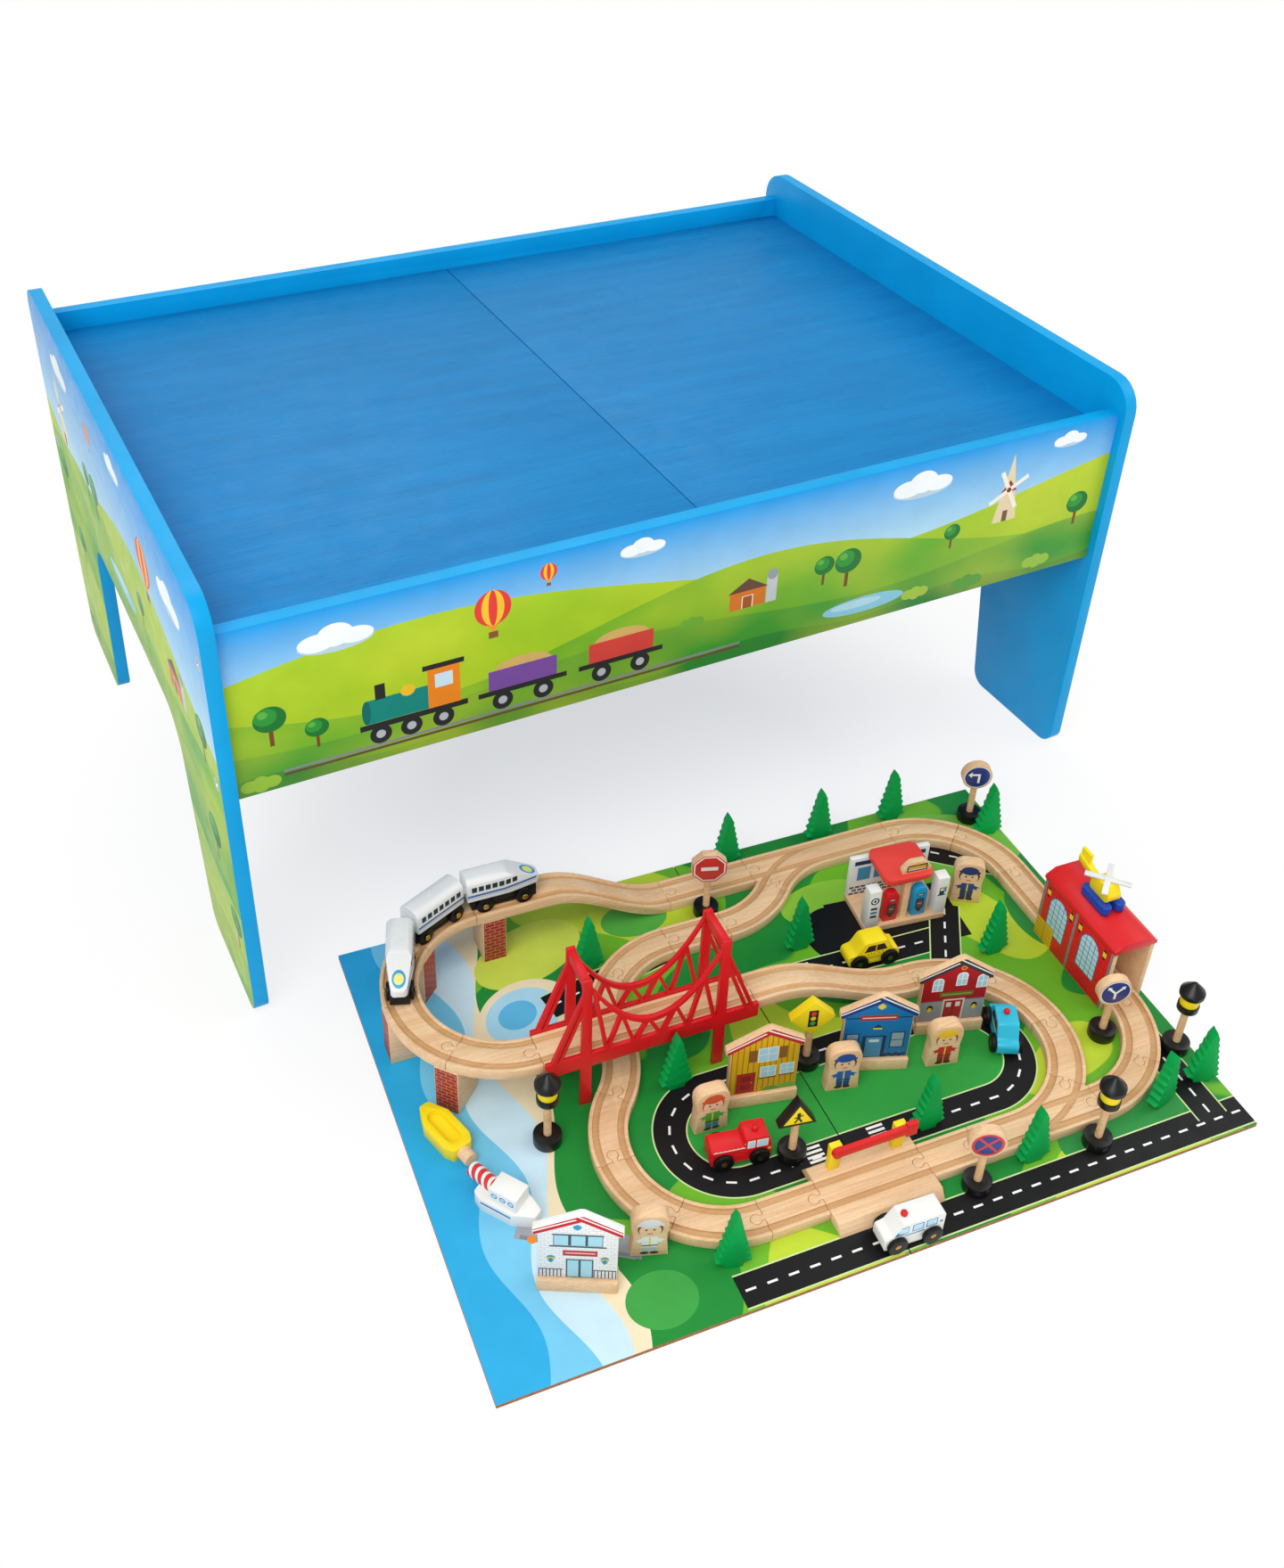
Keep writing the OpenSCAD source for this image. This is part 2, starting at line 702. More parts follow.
module barrel_nuts() {
  color("dimgray")
    for (x = [-1, 1], y = [-1, 1], z = bolt_levels)
      translate([x * (inner_l / 2 - nut_back), table_y + y * (side_mid - side_t / 2), z])
        difference() {
          rotate([-y * 90, 0, 0])
            cylinder(d = nut_d, h = nut_l);
          translate([0, y * side_t / 2, 0])
            rotate([0, 90, 0])
              cylinder(d = bolt_hole_d, h = 2 * nut_d, center = true);
        }
}

// Play board and track

module on_board() {
  translate([board_x, board_y, 0])
    rotate([0, 0, board_turn])
      translate([-board_l / 2, -board_w / 2, board_t])
        children();
}

module at_spot(spot) {
  on_board()
    translate([spot[0] * board_l, spot[1] * board_l, 0])
      rotate([0, 0, spot[2]])
        children();
}

module play_boards() {
  color("mediumseagreen")
    on_board()
      for (i = [0, 1])
        translate([i * (board_l + seam_gap) / 2, 0, -board_t])
          cube([(board_l - seam_gap) / 2, board_w, board_t]);
}

module track_section() {
  near = (groove_gauge - groove_w) / 2;
  far = (groove_gauge + groove_w) / 2;
  low = track_h - groove_depth;
  polygon([[-track_w / 2, 0], [track_w / 2, 0], [track_w / 2, track_h], [far, track_h], [far, low],
    [near, low], [near, track_h], [-near, track_h], [-near, low], [-far, low], [-far, track_h],
    [-track_w / 2, track_h]]);
}

module groove_section() {
  for (x = [-1, 1])
    translate([x * groove_gauge / 2, track_h])
      square([groove_w, 2 * groove_depth], center = true);
}

module plain_section() {
  translate([0, track_h / 2])
    square([track_w, track_h], center = true);
}

module along(l) {
  rotate([90, 0, 90])
    linear_extrude(height = l)
      children();
}

module peg() {
  translate([-over, -peg_neck_w / 2, 0])
    cube([peg_reach + over, peg_neck_w, track_h]);
  translate([peg_reach, 0, 0])
    cylinder(d = peg_d, h = track_h);
}

module socket() {
  translate([-peg_reach, -peg_slot_w / 2, -over])
    cube([peg_reach + over, peg_slot_w, track_h + 2 * over]);
  translate([joint_gap - peg_reach, 0, -over])
    cylinder(d = peg_hole_d, h = track_h + 2 * over);
}

module straight_track(l) {
  difference() {
    union() {
      translate([trim, 0, 0])
        along(l - joint_gap)
          track_section();
      translate([l - trim, 0, 0])
        peg();
    }
    translate([trim, 0, 0])
      rotate([0, 0, 180])
        socket();
  }
}

module arc_end(turn, out) {
  rotate([0, 0, turn])
    translate([curve_r, 0, 0])
      rotate([0, 0, out * 90])
        children();
}

module curve_track(sweep, way) {
  difference() {
    union() {
      rotate([0, 0, trim_turn])
        rotate_extrude(angle = sweep - 2 * trim_turn)
          translate([curve_r, 0])
            track_section();
      arc_end(way > 0 ? sweep - trim_turn : trim_turn, way)
        peg();
    }
    arc_end(way > 0 ? trim_turn : sweep - trim_turn, -way)
      socket();
  }
}

module curve_at(u, v, start, sweep, way) {
  translate([u, v, 0])
    rotate([0, 0, start])
      curve_track(sweep, way);
}

module curve_tracks() {
  color("burlywood")
    on_board() {
      for (i = [0:3])
        translate([0, 0, lift])
          curve_at(loop_u, high_v, 90 + i * quarter, quarter, -1);
      for (i = [0:2])
        curve_at(inner_u, low_v, switch_sweep - 90 + i * inner_sweep, inner_sweep, -1);
      for (i = [0, 1]) {
        curve_at(outer_u, low_v, i * quarter - 90, quarter, -1);
        curve_at(outer_u, high_v, i * quarter, quarter, -1);
        curve_at(left_u, low_v, 180 + i * quarter, quarter, -1);
        curve_at(middle_u, middle_v - curve_r, 90 + i * quarter, quarter, -1);
      }
      curve_at(left_u, low_v, 180 - weave, weave, -1);
      curve_at(weave_u - curve_r, middle_v - curve_r, -weave, weave, 1);
      curve_at(branch_u, middle_v + curve_r, -90, switch_sweep, 1);
    }
}

module straight_at(u, v, turn, l) {
  translate([u, v, 0])
    rotate([0, 0, turn])
      straight_track(l);
}

module straight_tracks() {
  color("burlywood")
    on_board() {
      translate([0, 0, lift])
        straight_at(foot_u, bridge_v, 180, bridge_l);
      straight_at(foot_u, back_v, 0, switch_head_u - foot_u);
      for (i = [1, 2])
        straight_at(shed_u, low_v + i * curve_r, -90, curve_r);
      straight_at(inner_u - front_tail, front_v, 180, inner_u - front_tail - crossing_end_u);
      straight_at(crossing_u, front_v, 180, crossing_u - left_u);
      straight_at(middle_u, middle_v, 0, branch_u - middle_u);
    }
}

module ramp_side(l, lead, low, high) {
  polygon(concat(
    [for (i = [0:curve_steps]) [ramp_x(i, lead, l), ramp_z(ramp_x(i, lead, l), lead, l) + low]],
    [for (i = [curve_steps:-1:0]) [ramp_x(i, lead, l), ramp_z(ramp_x(i, lead, l), lead, l) + high]]
  ));
}

module ramp_body(l, lead) {
  difference() {
    rotate([90, 0, 0])
      linear_extrude(height = track_w, center = true)
        ramp_side(l, lead, 0, track_h);
    for (y = [-1, 1])
      translate([0, y * groove_gauge / 2, 0])
        rotate([90, 0, 0])
          linear_extrude(height = groove_w, center = true)
            ramp_side(l, lead, track_h - groove_depth, track_h + over);
  }
}

module ramp_tracks() {
  head = ramp_l * ramp_lead_share / 3;
  color("burlywood")
    on_board() {
      translate([loop_u + trim, back_v, 0])
        difference() {
          union() {
            ramp_body(bridge_l - joint_gap, bridge_l * ramp_lead_share);
            translate([bridge_l - joint_gap, 0, 0])
              peg();
          }
          translate([0, 0, lift])
            rotate([0, 0, 180])
              socket();
        }
      translate([foot_u + trim, bridge_v, 0])
        union() {
          ramp_body(ramp_l - joint_gap, head);
          translate([ramp_l - joint_gap, 0, 0])
            peg();
          translate([0, 0, lift])
            rotate([0, 0, 180])
              peg();
        }
    }
}

module switch_track(tail) {
  difference() {
    union() {
      translate([trim - tail, 0, 0])
        along(tail + switch_reach - joint_gap)
          plain_section();
      translate([0, curve_r, 0])
        rotate([0, 0, -90])
          rotate_extrude(angle = switch_sweep - trim_turn)
            translate([curve_r, 0])
              plain_section();
      translate([trim - tail, 0, 0])
        rotate([0, 0, 180])
          peg();
    }
    translate([-tail - over, 0, 0])
      along(tail + switch_reach + 2 * over)
        groove_section();
    translate([0, curve_r, 0])
      rotate([0, 0, -90])
        rotate_extrude(angle = switch_sweep)
          translate([curve_r, 0])
            groove_section();
    translate([switch_reach - trim, 0, 0])
      socket();
    translate([0, curve_r, 0])
      rotate([0, 0, -90])
        arc_end(switch_sweep - trim_turn, 1)
          socket();
  }
}

module switch_tracks() {
  color("burlywood")
    on_board() {
      translate([inner_u, front_v, 0])
        switch_track(front_tail);
      translate([switch_u, back_v, 0])
        rotate([0, 0, 180])
          switch_track(back_tail);
    }
}

module crossing_track() {
  l = crossing_end_u - crossing_u;
  half = track_w / 2 + post_t + post_t;
  color("burlywood")
    on_board()
      translate([crossing_end_u, front_v, 0])
        rotate([0, 0, 180])
          difference() {
            union() {
              translate([trim, 0, 0])
                along(l - joint_gap)
                  polygon([[-half - crossing_ramp, 0], [half + crossing_ramp, 0], [half, track_h],
                    [-half, track_h]]);
              translate([l - trim, 0, 0])
                peg();
            }
            translate([-over, 0, 0])
              along(l + 2 * over)
                groove_section();
            translate([trim, 0, 0])
              rotate([0, 0, 180])
                socket();
          }
}

module riser() {
  translate([-track_w / 2, -track_w / 3, 0])
    cube([track_w, 2 * track_w / 3, lift]);
}

module riser_blocks() {
  color("tan")
    on_board() {
      for (i = [1:3])
        translate([loop_u, high_v, 0])
          rotate([0, 0, 90 + i * quarter])
            translate([curve_r, 0, 0])
              riser();
      translate([loop_u + track_w / 2, back_v, 0])
        rotate([0, 0, 90])
          riser();
    }
}

// Bridge

module bar(p, q, w) {
  d = q - p;
  translate(p)
    rotate(atan2(d[1], d[0]))
      translate([0, -w / 2])
        square([norm(d), w]);
}

function cable_z(x, a, b) =
  let (t = (2 * x - a - b) / (b - a))
  tower_h * (sag_share + (1 - sag_share) * t * t) - cable_w;

module bridge_outline() {
  a = bridge_l * tower_shares[0];
  b = bridge_l * tower_shares[1];
  deck = lift - strut_w;
  top = deck + chord_h;
  translate([trim, deck])
    square([bridge_l - joint_gap, chord_h]);
  for (x = [a, b])
    polygon([[x - tower_foot_w / 2, 0], [x + tower_foot_w / 2, 0], [x + tower_head_w / 2, tower_h],
      [x - tower_head_w / 2, tower_h]]);
  polygon(concat(
    [for (i = [0:curve_steps]) [a + (b - a) * i / curve_steps, cable_z(a + (b - a) * i / curve_steps, a, b)]],
    [for (i = [curve_steps:-1:0])
      [a + (b - a) * i / curve_steps, cable_z(a + (b - a) * i / curve_steps, a, b) + cable_w]]
  ));
  reach = (b - a) / truss_bays;
  for (i = [1:truss_bays - 1])
    let (x = a + reach * i, s = i % 2 == 0 ? 1 : -1, y = x + s * reach / 2)
      bar([x - s * reach / 2, top - strut_w], [y, cable_z(y, a, b) + strut_w], strut_w);
  for (k = [1, 2]) {
    bar([a, tower_h - k * cable_w * 2], [trim + k * cable_w, top - strut_w], strut_w);
    bar([b, tower_h - k * cable_w * 2], [bridge_l - trim - k * cable_w, top - strut_w], strut_w);
  }
}

module bridge_sides() {
  color("crimson")
    on_board()
      for (s = [-1, 1])
        translate([loop_u, bridge_v + s * (track_w / 2 + fit_gap + truss_t / 2), 0])
          rotate([90, 0, 0])
            linear_extrude(height = truss_t, center = true)
              bridge_outline();
}

module bridge_portals() {
  color("crimson")
    on_board()
      for (s = tower_shares)
        translate([loop_u + bridge_l * s, bridge_v, 0]) {
          translate([0, 0, tower_h - portal_h / 2])
            cube([portal_t, track_w + 2 * fit_gap, portal_h], center = true);
          translate([0, 0, lift - portal_h / 2])
            cube([portal_t, track_w + 2 * fit_gap, portal_h], center = true);
        }
}

// Level crossing gate

module gate_posts() {
  color("gold")
    on_board()
      translate([0, gate_v, track_h]) {
        translate([gate_u, 0, 0])
          difference() {
            translate([-post_w / 2, -post_t / 2, 0])
              cube([post_w, post_t, post_h]);
            translate([0, 0, pivot_h])
              rotate([90, 0, 0])
                cylinder(r = pin_r + hole_gap, h = 2 * post_t, center = true);
          }
        translate([catch_u - post_w / 2, -post_t / 2, 0])
          cube([post_w, post_t, post_h]);
      }
}

module gate_arm() {
  color("red")
    on_board()
      translate([gate_u, gate_v, track_h + pivot_h])
        rotate([90, 0, 0])
          union() {
            translate([0, 0, post_t / 2 + fit_gap]) {
              cylinder(d = post_w, h = arm_t);
              translate([0, -arm_h / 2, 0])
                cube([arm_l, arm_h, arm_t]);
              translate([arm_l - post_w, -tip_h / 2, 0])
                cube([post_w, tip_h, arm_t]);
            }
            translate([0, 0, -post_t / 2])
              cylinder(r = pin_r, h = post_t + fit_gap + arm_t);
          }
}

// Lamps and signs

sign_spots = concat(round_spot_shares, [octagon_spot_share, diamond_spot_share, triangle_spot_share]);

module post_feet() {
  color("black")
    for (s = concat(lamp_spot_shares, sign_spots))
      at_spot(s)
        difference() {
          cylinder(d = foot_d, h = foot_h);
          translate([0, 0, foot_h - pole_set])
            cylinder(d = pole_d + 2 * hole_gap, h = foot_h);
        }
}

module post_poles() {
  color("wheat") {
    for (s = lamp_spot_shares)
      at_spot(s)
        translate([0, 0, foot_h - pole_set])
          cylinder(d = pole_d, h = pole_set + lamp_pole_l);
    for (s = sign_spots)
      at_spot(s)
        translate([0, 0, foot_h - pole_set])
          cylinder(d = pole_d, h = pole_set + sign_pole_l);
  }
}

module lamp_drums() {
  color("yellow")
    for (s = lamp_spot_shares)
      at_spot(s)
        translate([0, 0, foot_h + lamp_pole_l + collar_h])
          cylinder(d = drum_d, h = drum_h);
}

module lamp_caps() {
  color("black")
    for (s = lamp_spot_shares)
      at_spot(s)
        translate([0, 0, foot_h + lamp_pole_l]) {
          cylinder(d = collar_d, h = collar_h);
          translate([0, 0, collar_h + drum_h])
            cylinder(d = cap_d, h = cap_rim);
          translate([0, 0, collar_h + drum_h + cap_rim])
            cylinder(d1 = cap_d, d2 = pole_d / 2, h = cap_h);
        }
}

module sign_plate(sides, size, turn, drop) {
  translate([0, 0, foot_h + sign_pole_l])
    difference() {
      translate([0, 0, size / 2 - pole_set / 2 - drop])
        rotate([90, 0, 0])
          linear_extrude(height = sign_t, center = true)
            rotate(turn)
              circle(d = size, $fn = sides);
      translate([0, 0, -pole_set])
        cylinder(d = pole_d + 2 * hole_gap, h = pole_set);
    }
}

module sign_plates() {
  color("wheat") {
    for (s = round_spot_shares)
      at_spot(s)
        sign_plate($fn, sign_d, 0, 0);
    at_spot(octagon_spot_share)
      sign_plate(8, octagon_d, 180 / 8, 0);
    at_spot(diamond_spot_share)
      sign_plate(4, diamond_d, 0, pole_set / 2);
    at_spot(triangle_spot_share)
      sign_plate(3, triangle_d, 90, triangle_d / 4);
  }
}

// Trees and figures

module tree_outline() {
  step = tree_h / tree_tiers;
  half = [for (i = [0:tree_tiers]) tree_w / 2 * (1 - i / tree_tiers)];
  rise = [for (i = [1:tree_tiers - 1])
    each [[half[i - 1], i * step], [half[i - 1] * notch_share, i * step + step / 4]]];
  fall = [for (i = [len(rise) - 1:-1:0]) [-rise[i][0], rise[i][1]]];
  foot = tree_w * tree_foot_share / 2;
  polygon(concat([[-foot, 0], [foot, 0], [foot, step / 2]], rise, [[0, tree_h]], fall, [[-foot, step / 2]]));
}

module fir_trees() {
  color("green")
    for (s = tree_spot_shares)
      at_spot(s)
        rotate([90, 0, 0])
          linear_extrude(height = tree_t, center = true)
            tree_outline();
}

module figures() {
  outline = [for (p = figure_shares) [(p[0] - 1 / 2) * figure_w, p[1] * figure_h, p[2] * figure_r]];
  color("wheat")
    for (s = figure_spot_shares)
      at_spot(s)
        rotate([90, 0, 0])
          linear_extrude(height = figure_t, center = true)
            polygon(rounded(outline, corner_steps));
}

// Buildings

module building_front(ridge, eave) {
  wall = roof_out_share;
  blunt = ridge_share / 2;
  low = eave - roof_edge_share;
  outline = [[wall, 0], [1 - wall, 0], [1 - wall, low], [1, low], [1, eave], [ridge + blunt, 1],
    [ridge - blunt, 1], [0, eave], [0, low], [wall, low]];
  translate([0, 0, base_h - slot_depth])
    rotate([90, 0, 0])
      linear_extrude(height = front_t, center = true)
        polygon([for (p = sized(outline, front_w, front_h, 0)) [p[0], p[1]]]);
}

module building_fronts() {
  color("lightblue")
    for (i = [0:3])
      at_spot(building_spot_shares[i])
        building_front(house_shares[i][0], house_shares[i][1]);
}

module building_feet() {
  color("burlywood")
    for (s = building_spot_shares)
      at_spot(s)
        difference() {
          translate([-base_l / 2, -base_d / 2, 0])
            cube([base_l, base_d, base_h]);
          translate([-base_l, -front_t / 2 - hole_gap, base_h - slot_depth])
            cube([2 * base_l, front_t + 2 * hole_gap, base_h]);
        }
}

// Filling station

pillar_y = pillar_w - canopy_d / 2;
wall_y = (station_d - station_wall_t) / 2 - fit_gap;

module station_base() {
  color("burlywood")
    at_spot(station_spot_share)
      union() {
        translate([-station_l / 2, -station_d / 2, 0])
          cube([station_l, station_d, station_t]);
        translate([-pillar_w / 2, pillar_y - pillar_w / 2, station_t])
          cube([pillar_w, pillar_w, station_wall_h]);
      }
}

module station_walls() {
  color("white")
    at_spot(station_spot_share)
      translate([0, 0, station_t]) {
        translate([fit_gap - station_l / 2, wall_y - station_wall_t / 2, 0])
          cube([station_l - 2 * fit_gap, station_wall_t, station_wall_h]);
        translate([fit_gap - station_l / 2, fit_gap - station_d / 2, 0])
          cube([block_w, block_w, block_h]);
        translate([station_l / 2 - block_w - fit_gap, fit_gap - station_d / 2, 0])
          cube([block_w, block_w, block_h]);
      }
}

module station_pumps() {
  color("red")
    at_spot(station_spot_share)
      for (s = [-1, 1])
        translate([s * pump_reach, pillar_y, station_t])
          rotate([90, 0, 0])
            linear_extrude(height = pump_d, center = true)
              union() {
                translate([-pump_w / 2, 0])
                  square([pump_w, pump_h - pump_w / 2]);
                translate([0, pump_h - pump_w / 2])
                  circle(d = pump_w);
              }
}

module station_roof() {
  roof = [[-canopy_l / 2, -canopy_d / 2, canopy_r], [canopy_l / 2, -canopy_d / 2, canopy_r],
    [canopy_l / 2, canopy_d / 2, canopy_r], [-canopy_l / 2, canopy_d / 2, canopy_r]];
  color("red")
    at_spot(station_spot_share)
      translate([0, 0, station_t + station_wall_h])
        linear_extrude(height = canopy_t)
          polygon(rounded(roof, corner_steps));
}

// Engine shed and helicopter

module at_shed() {
  on_board()
    translate([shed_u, shed_v, 0])
      children();
}

module shed_walls() {
  color("firebrick")
    at_shed()
      for (s = [-1, 1])
        translate([s * (shed_w + shed_wall_t) / 2 - shed_wall_t / 2, -shed_l / 2, 0])
          cube([shed_wall_t, shed_l, shed_h]);
}

module shed_roof() {
  color("red")
    at_shed()
      rotate([90, 0, 0])
        linear_extrude(height = shed_l + 2 * shed_eave, center = true)
          polygon([[-shed_half, shed_h], [shed_half, shed_h], [shed_half, shed_h + shed_roof_t],
            [shed_flat / 2, shed_top], [-shed_flat / 2, shed_top], [-shed_half, shed_h + shed_roof_t]]);
}

module at_helicopter(z) {
  at_shed()
    translate([0, 0, shed_top + z])
      rotate([0, 0, helicopter_turn])
        children();
}

module helicopter_pad() {
  color("blue")
    at_helicopter(0)
      linear_extrude(height = pad_t)
        union() {
          square([float_l / 3, float_gap + float_w], center = true);
          for (s = [-1, 1])
            translate([0, s * (float_gap + float_w) / 2]) {
              square([float_l - float_w, float_w], center = true);
              for (e = [-1, 1])
                translate([e * (float_l - float_w) / 2, 0])
                  circle(d = float_w);
            }
        }
}

module helicopter_body() {
  cabin = [[-cabin_l / 2, 0, vehicle_r], [cabin_l / 2, 0, vehicle_r * 2],
    [cabin_l / 2, cabin_h * nose_share, vehicle_r * 2], [cabin_l / 4, cabin_h, vehicle_r * 2],
    [-cabin_l / 3, cabin_h, vehicle_r], [-cabin_l / 2, cabin_h - boom_h, 0],
    [-cabin_l / 2 - tail_l, cabin_h, 0], [-cabin_l / 2 - tail_l, cabin_h - boom_h, 0],
    [-cabin_l / 2, cabin_h - 2 * boom_h, 0]];
  color("gold")
    at_helicopter(pad_t)
      difference() {
        union() {
          intersection() {
            rotate([90, 0, 0])
              linear_extrude(height = cabin_w, center = true)
                polygon(rounded(cabin, corner_steps));
            union() {
              translate([-cabin_l / 2, -cabin_w / 2, -over])
                cube([cabin_l, cabin_w, cabin_h + 2 * over]);
              translate([-cabin_l / 2 - tail_l, -boom_h / 2, -over])
                cube([cabin_l + tail_l, boom_h, cabin_h + 2 * over]);
            }
          }
          translate([-cabin_l / 2 - tail_l, -boom_h / 4, cabin_h - boom_h])
            cube([2 * boom_h, boom_h / 2, fin_h]);
        }
        translate([0, 0, cabin_h - mast_h])
          cylinder(d = mast_d + 2 * hole_gap, h = cabin_h);
      }
}

module helicopter_rotor() {
  color("white")
    at_helicopter(pad_t + cabin_h)
      union() {
        translate([0, 0, fit_gap - mast_h])
          cylinder(d = mast_d, h = mast_h + blade_t);
        translate([0, 0, fit_gap])
          cylinder(d = hub_d, h = blade_t + fit_gap);
        for (i = [0, 1])
          rotate([0, 0, 45 + i * 90])
            translate([-rotor_d / 2, -blade_w / 2, fit_gap])
              cube([rotor_d, blade_w, blade_t]);
      }
}

// Boats

hull_outline = [[-hull_l / 2, -hull_w * bow_tip_share, hull_r],
  [-hull_l / 2 + hull_w / 3, -hull_w / 2, hull_r],
  [hull_l * (bow_share - 1 / 2), -hull_w / 2, hull_r], [hull_l / 2, -hull_w * bow_tip_share / 2, hull_r],
  [hull_l / 2, hull_w * bow_tip_share / 2, hull_r], [hull_l * (bow_share - 1 / 2), hull_w / 2, hull_r],
  [-hull_l / 2 + hull_w / 3, hull_w / 2, hull_r], [-hull_l / 2, hull_w * bow_tip_share, hull_r]];

module hull_body() {
  linear_extrude(height = hull_h)
    polygon(rounded(hull_outline, corner_steps));
}

module tug_boat() {
  color("white")
    at_spot(tug_spot_share)
      union() {
        hull_body();
        translate([-deckhouse_l / 2, -deckhouse_w / 2, 0])
          cube([deckhouse_l, deckhouse_w, hull_h + deckhouse_h]);
        translate([0, 0, hull_h])
          rotate([0, -90, -tube_turn])
            cylinder(d = tube_d, h = deckhouse_l / 2 + tube_l);
      }
}

module barge() {
  color("gold")
    at_spot(barge_spot_share)
      difference() {
        union() {
          hull_body();
          translate([-hull_l / 2 - tow_l, 0, hull_h / 2])
            rotate([0, 90, 0])
              cylinder(d = tow_d, h = tow_l + hull_r);
        }
        translate([-over, 0, hull_h - hold_depth])
          linear_extrude(height = hull_h)
            union() {
              square([hold_l - hold_w, hold_w], center = true);
              for (s = [-1, 1])
                translate([s * (hold_l - hold_w) / 2, 0])
                  circle(d = hold_w);
            }
      }
}

// Road vehicles

module vehicle_body(shares, soft) {
  difference() {
    translate([0, 0, vehicle_up])
      rotate([90, 0, 0])
        linear_extrude(height = vehicle_w, center = true)
          polygon(rounded(sized(shares, vehicle_l, vehicle_h, soft), corner_steps));
    for (s = [-1, 1])
      translate([s * road_base / 2, 0, road_axle_z])
        rotate([90, 0, 0])
          cylinder(r = bore_r, h = 2 * vehicle_w, center = true);
  }
}

module road_wheels(side) {
  translate([side * road_base / 2, 0, road_axle_z])
    rotate([90, 0, 0])
      union() {
        cylinder(r = axle_r, h = road_axle_l, center = true);
        for (s = [-1, 1])
          translate([0, 0, s * (road_axle_l - road_wheel_w) / 2])
            cylinder(r = road_wheel_r, h = road_wheel_w, center = true);
      }
}

module car_bodies() {
  color("gold")
    at_spot(taxi_spot_share)
      vehicle_body(saloon_shares, saloon_r);
  color("dodgerblue")
    at_spot(patrol_spot_share)
      vehicle_body(saloon_shares, saloon_r);
}

module fire_engine_body() {
  color("red")
    at_spot(engine_spot_share)
      vehicle_body(engine_shares, vehicle_r);
}

module ambulance_body() {
  color("white")
    at_spot(ambulance_spot_share)
      vehicle_body(ambulance_shares, vehicle_r);
}

module taxi_front_wheels() {
  color("black") at_spot(taxi_spot_share) road_wheels(-1);
}

module taxi_rear_wheels() {
  color("black") at_spot(taxi_spot_share) road_wheels(1);
}

module patrol_front_wheels() {
  color("black") at_spot(patrol_spot_share) road_wheels(-1);
}

module patrol_rear_wheels() {
  color("black") at_spot(patrol_spot_share) road_wheels(1);
}

module engine_front_wheels() {
  color("black") at_spot(engine_spot_share) road_wheels(-1);
}

module engine_rear_wheels() {
  color("black") at_spot(engine_spot_share) road_wheels(1);
}

module ambulance_front_wheels() {
  color("black") at_spot(ambulance_spot_share) road_wheels(-1);
}

module ambulance_rear_wheels() {
  color("black") at_spot(ambulance_spot_share) road_wheels(1);
}

// Train

module on_loop(turn) {
  on_board()
    translate([loop_u, high_v, rail_z])
      rotate([0, 0, 90 + turn])
        translate([car_arc_r, 0, 0])
          rotate([0, 0, 90])
            children();
}

module at_front_car() {
  on_loop(front_car_turn) children();
}

module at_middle_car() {
  on_loop(mid_car_turn) children();
}

module at_rear_car() {
  on_board()
    translate([board_l * rear_car_share, back_v, rail_z])
      children();
}

module end_shell() {
  translate([0, 0, shell_z])
    intersection() {
      rotate([90, 0, 90])
        linear_extrude(height = end_car_l, center = true)
          polygon(rounded(shell_outline, corner_steps));
      rotate([90, 0, 0])
        linear_extrude(height = 2 * car_w, center = true)
          polygon(rounded(nose_side, corner_steps));
      linear_extrude(height = car_h + over)
        polygon(rounded(nose_plan, corner_steps));
    }
}

module end_car_shells() {
  color("white") {
    at_front_car() end_shell();
    at_rear_car() end_shell();
  }
}

module middle_car_shell() {
  color("white")
    at_middle_car()
      translate([0, 0, shell_z])
        rotate([90, 0, 90])
          linear_extrude(height = mid_car_l, center = true)
            polygon(rounded(shell_outline, corner_steps));
}

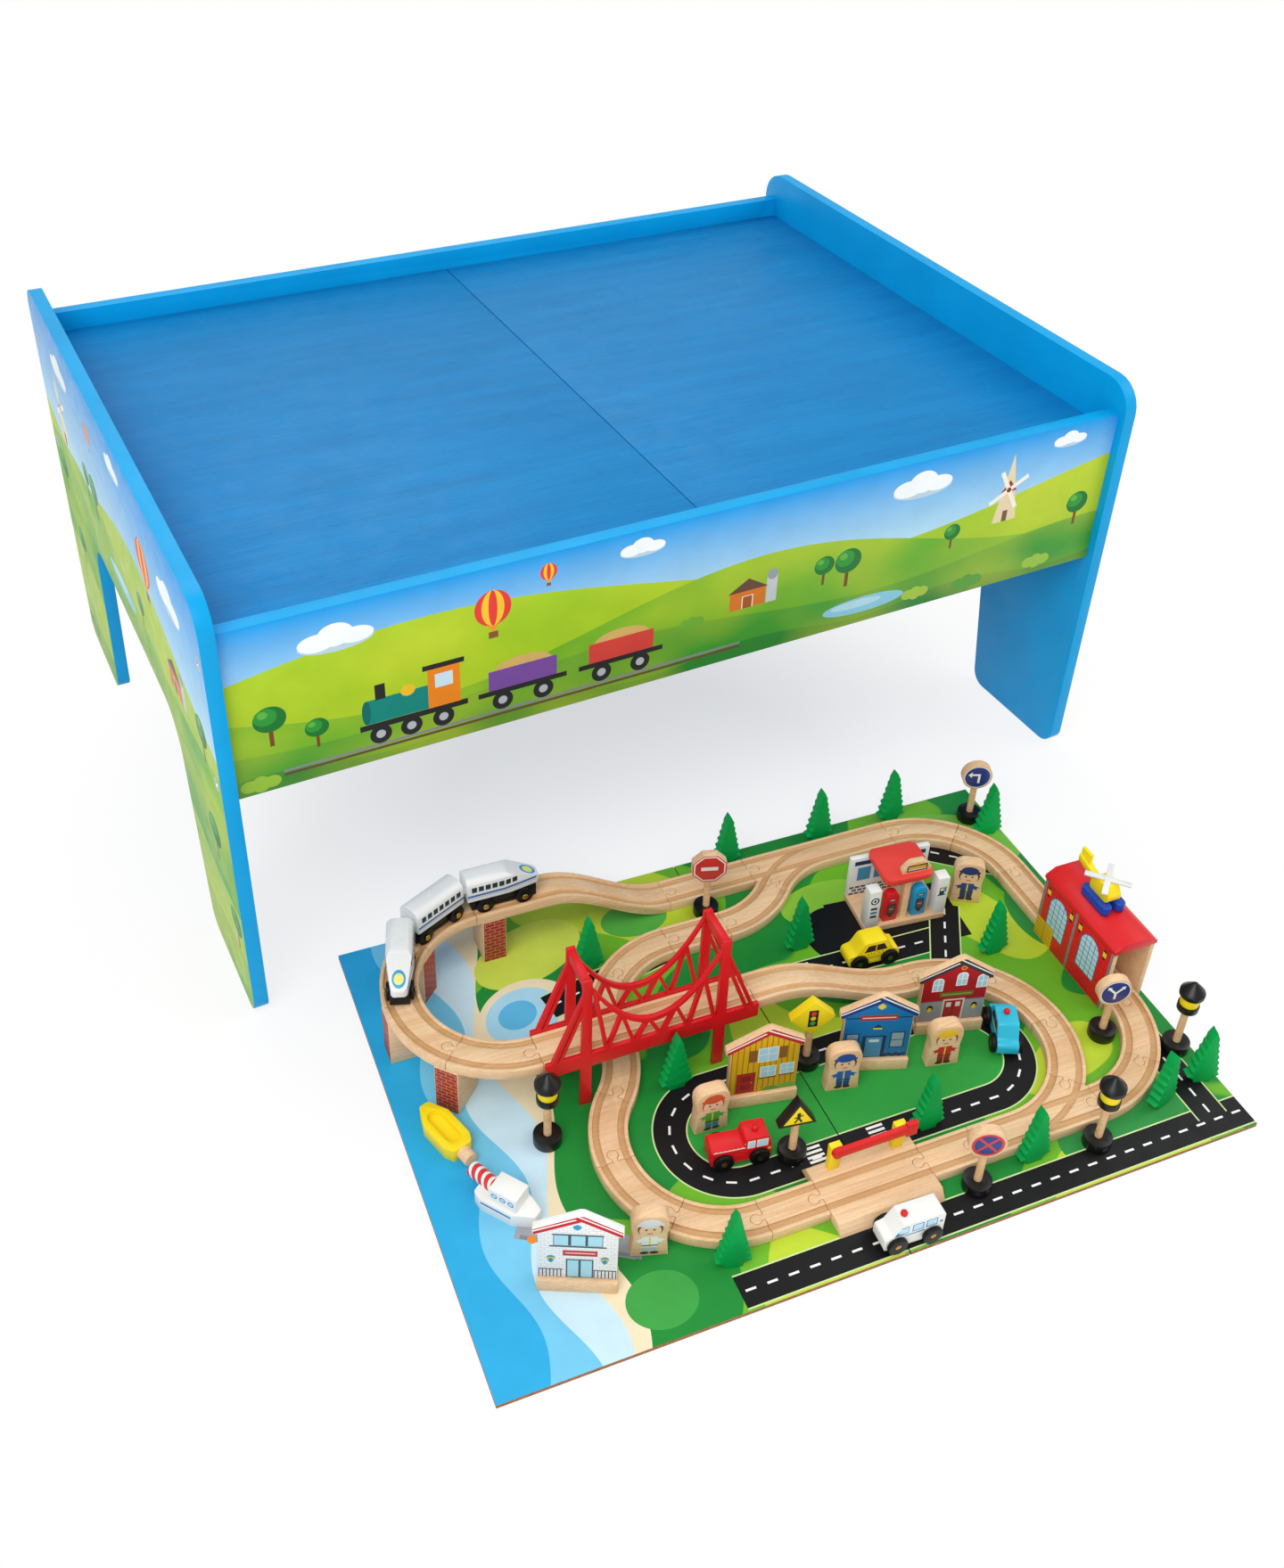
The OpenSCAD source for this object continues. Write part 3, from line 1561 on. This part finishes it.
module chassis(l) {
  difference() {
    translate([-l / 2, -chassis_w / 2, chassis_up])
      cube([l, chassis_w, shell_z - chassis_up]);
    for (s = [-1, 1])
      translate([s * car_base / 2, 0, wheel_r])
        rotate([90, 0, 0])
          cylinder(r = bore_r, h = 2 * chassis_w, center = true);
  }
}

module car_chassis() {
  color("black") {
    at_front_car() chassis(end_car_l - car_roof_r);
    at_middle_car() chassis(mid_car_l);
    at_rear_car() chassis(end_car_l - car_roof_r);
  }
}

module wheelset(side) {
  translate([side * car_base / 2, 0, wheel_r])
    rotate([90, 0, 0])
      union() {
        cylinder(r = axle_r, h = axle_l, center = true);
        for (s = [-1, 1])
          translate([0, 0, s * groove_gauge / 2])
            cylinder(r = wheel_r, h = wheel_w, center = true);
      }
}

module front_car_lead_wheels() {
  color("dimgray") at_front_car() wheelset(1);
}

module front_car_trail_wheels() {
  color("dimgray") at_front_car() wheelset(-1);
}

module middle_car_lead_wheels() {
  color("dimgray") at_middle_car() wheelset(1);
}

module middle_car_trail_wheels() {
  color("dimgray") at_middle_car() wheelset(-1);
}

module rear_car_lead_wheels() {
  color("dimgray") at_rear_car() wheelset(1);
}

module rear_car_trail_wheels() {
  color("dimgray") at_rear_car() wheelset(-1);
}

left_end_panel();
right_end_panel();
front_panel();
back_panel();
left_top_board();
right_top_board();
top_supports();
panel_bolts();
barrel_nuts();
play_boards();
curve_tracks();
straight_tracks();
ramp_tracks();
switch_tracks();
crossing_track();
riser_blocks();
bridge_sides();
bridge_portals();
gate_posts();
gate_arm();
post_feet();
post_poles();
lamp_drums();
lamp_caps();
sign_plates();
fir_trees();
figures();
building_fronts();
building_feet();
station_base();
station_walls();
station_pumps();
station_roof();
shed_walls();
shed_roof();
helicopter_pad();
helicopter_body();
helicopter_rotor();
tug_boat();
barge();
car_bodies();
fire_engine_body();
ambulance_body();
end_car_shells();
middle_car_shell();
car_chassis();
front_car_lead_wheels();
front_car_trail_wheels();
middle_car_lead_wheels();
middle_car_trail_wheels();
rear_car_lead_wheels();
rear_car_trail_wheels();
taxi_front_wheels();
taxi_rear_wheels();
patrol_front_wheels();
patrol_rear_wheels();
engine_front_wheels();
engine_rear_wheels();
ambulance_front_wheels();
ambulance_rear_wheels();
